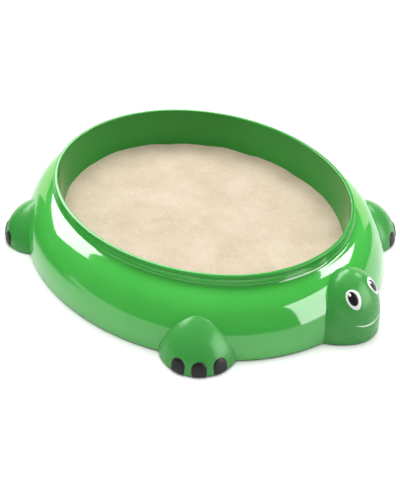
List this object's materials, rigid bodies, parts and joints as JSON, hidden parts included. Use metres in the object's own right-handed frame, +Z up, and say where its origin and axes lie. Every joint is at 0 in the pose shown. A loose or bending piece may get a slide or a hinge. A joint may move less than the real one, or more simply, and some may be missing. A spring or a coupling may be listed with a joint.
{
  "type": "sandbox with cover",
  "caption": "Tabletop turtle-shaped sandbox: an oval tub of sand in a glossy green body with a head and clawed feet, and a domed lift-off cover lying beside it.",
  "frame": {"origin": "on the ground, below the middle of the sand opening", "axes": "the head points to -Y, the turtle's left side is +X, and +Z is up"},
  "size_m": [0.5643, 0.5981, 0.062],
  "materials": {
    "shell_plastic": "gloss",
    "skin_plastic": "satin",
    "rubber_pad": "matte",
    "steel": "satin",
    "sand": "matte",
    "eye_white": "gloss",
    "eye_black": "gloss",
    "claw_black": "satin",
    "mouth_paint": "satin"
  },
  "bodies": {
    "sandbox": {"body_shell": "shell_plastic", "sand_tub": "shell_plastic", "base_panel": "shell_plastic", "base_screws": "steel", "base_pads": "rubber_pad", "sand_fill": "sand", "head_shell": "skin_plastic", "head_screws": "steel", "mouth_line": "mouth_paint", "eye_white_right": "eye_white", "eye_white_left": "eye_white", "eye_pupil_right": "eye_black", "eye_pupil_left": "eye_black", "eye_glint_right": "eye_white", "eye_glint_left": "eye_white", "foot_front_right": "skin_plastic", "foot_front_left": "skin_plastic", "foot_rear_right": "skin_plastic", "foot_rear_left": "skin_plastic", "claws_front_right": "claw_black", "claws_front_left": "claw_black", "claws_rear_right": "claw_black", "claws_rear_left": "claw_black", "foot_screws_front_right": "steel", "foot_screws_front_left": "steel", "foot_screws_rear_right": "steel", "foot_screws_rear_left": "steel"},
    "cover": {"cover_shell": "shell_plastic"}
  },
  "joints": [
    {"name": "cover_swing", "type": "hinge", "parent": "sandbox", "child": "cover", "pos_m": [-0.12728, 0.12728, 0.0541], "axis": [0.7071, 0.7071, 0], "range_deg": [0, 180]}
  ]
}
